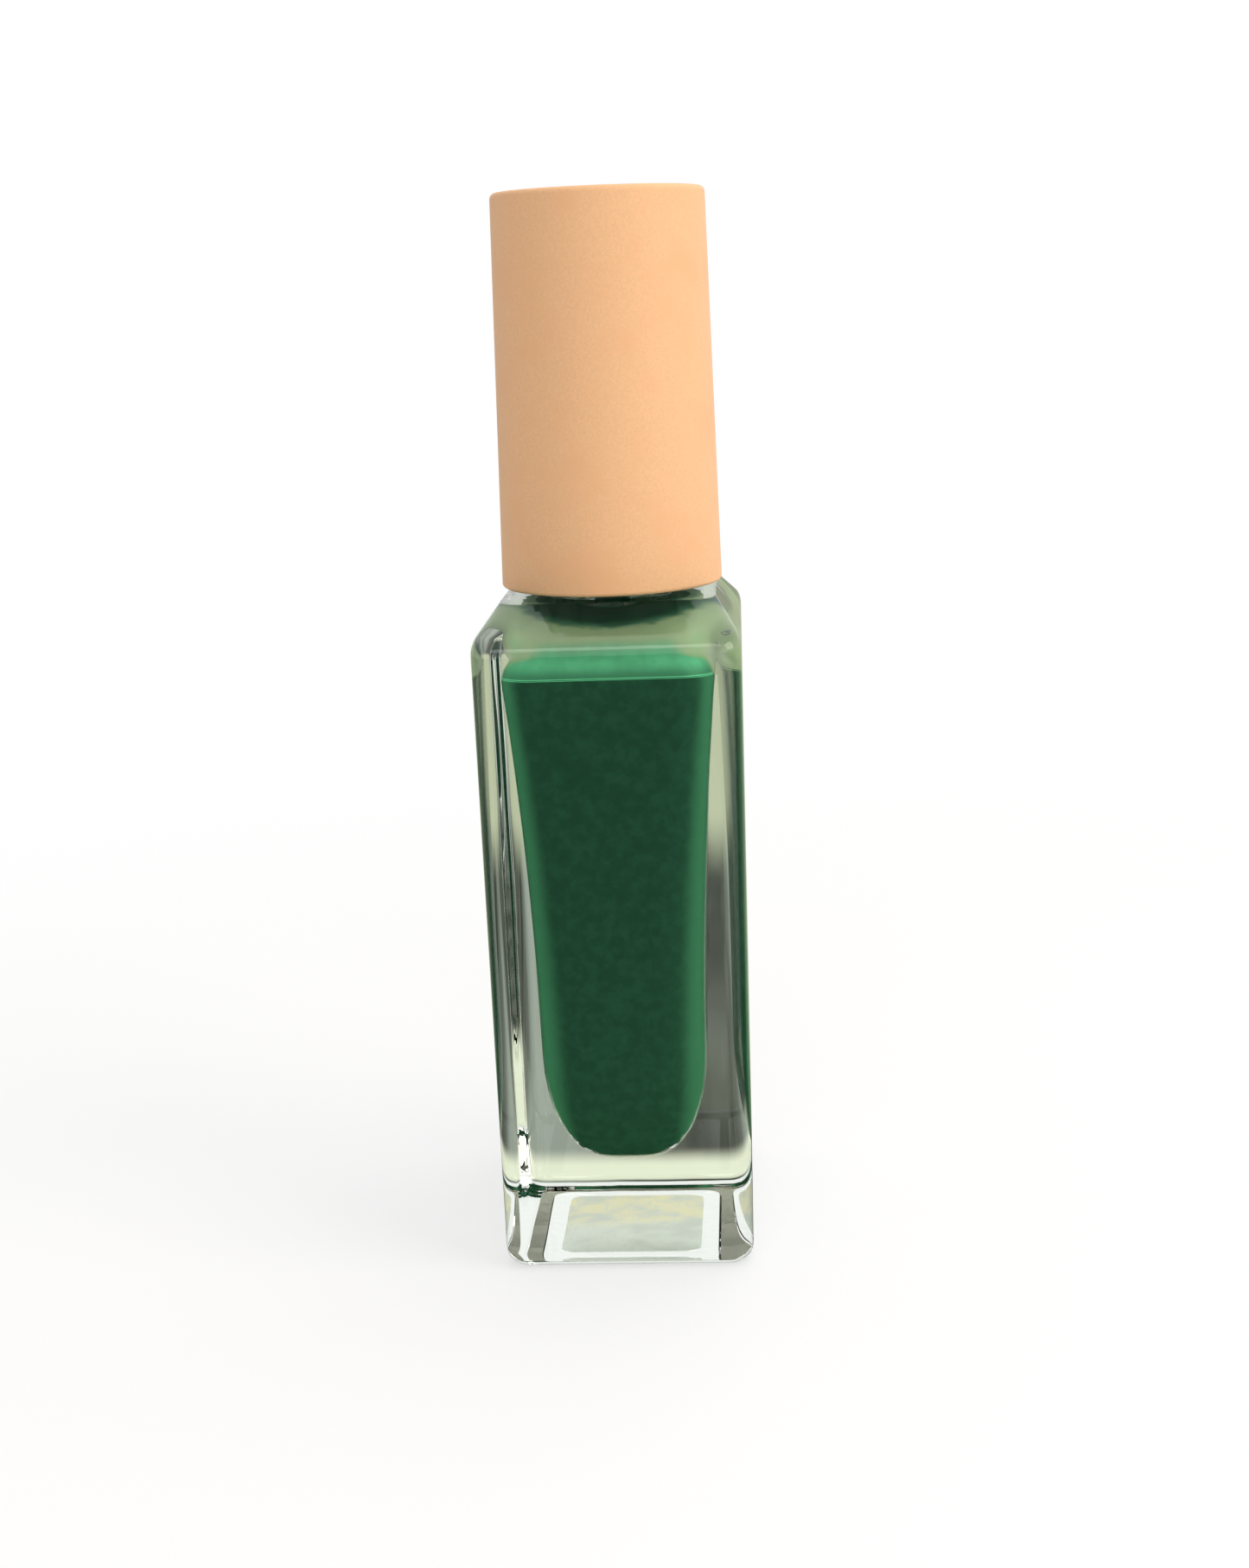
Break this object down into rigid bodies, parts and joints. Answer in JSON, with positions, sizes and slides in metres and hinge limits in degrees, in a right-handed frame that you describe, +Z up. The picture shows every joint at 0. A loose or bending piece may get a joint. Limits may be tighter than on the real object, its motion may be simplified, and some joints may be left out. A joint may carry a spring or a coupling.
{
  "type": "nail polish bottle",
  "caption": "Slim rectangular clear glass bottle filled with green lacquer, with a thick base, soft-edged sloping shoulder and tall round matte cap that carries the brush.",
  "frame": {"origin": "centre of the base, on the surface that the bottle stands on", "axes": "+Z up along the bottle and cap; -Y is the front face; +X is the bottle's right side seen from the front"},
  "size_m": [0.0226, 0.029, 0.0928],
  "materials": {
    "clear_glass": "clear moulded soda-lime glass",
    "green_lacquer": "opaque deep green liquid",
    "stainless_steel": "polished",
    "silver_label": "bare silvery sticker",
    "soft_touch_peach": "soft-touch coating, matte",
    "white_polypropylene": "moulded, natural white",
    "black_polyethylene": "moulded, black",
    "staple_wire": "drawn wire",
    "nylon_filament": "fine nylon filaments"
  },
  "bodies": {
    "bottle": {"glass_bottle": "clear_glass", "nail_lacquer": "green_lacquer", "mixing_balls": "stainless_steel", "base_label": "silver_label"},
    "brush": {"brush_stem": "black_polyethylene", "bristle_staple": "staple_wire", "brush_bristles": "nylon_filament"},
    "cap": {"outer_cap": "soft_touch_peach", "inner_cap": "white_polypropylene"}
  },
  "joints": [
    {"name": "closure_lift", "type": "slide", "parent": "bottle", "child": "brush", "axis": [0, 0, 1], "range_m": [0, 0.065]},
    {"name": "cap_unscrew", "type": "hinge", "parent": "brush", "child": "cap", "pos_m": [0, 0, 0.0599], "axis": [0, 0, 1], "range_deg": [0, 540]}
  ]
}
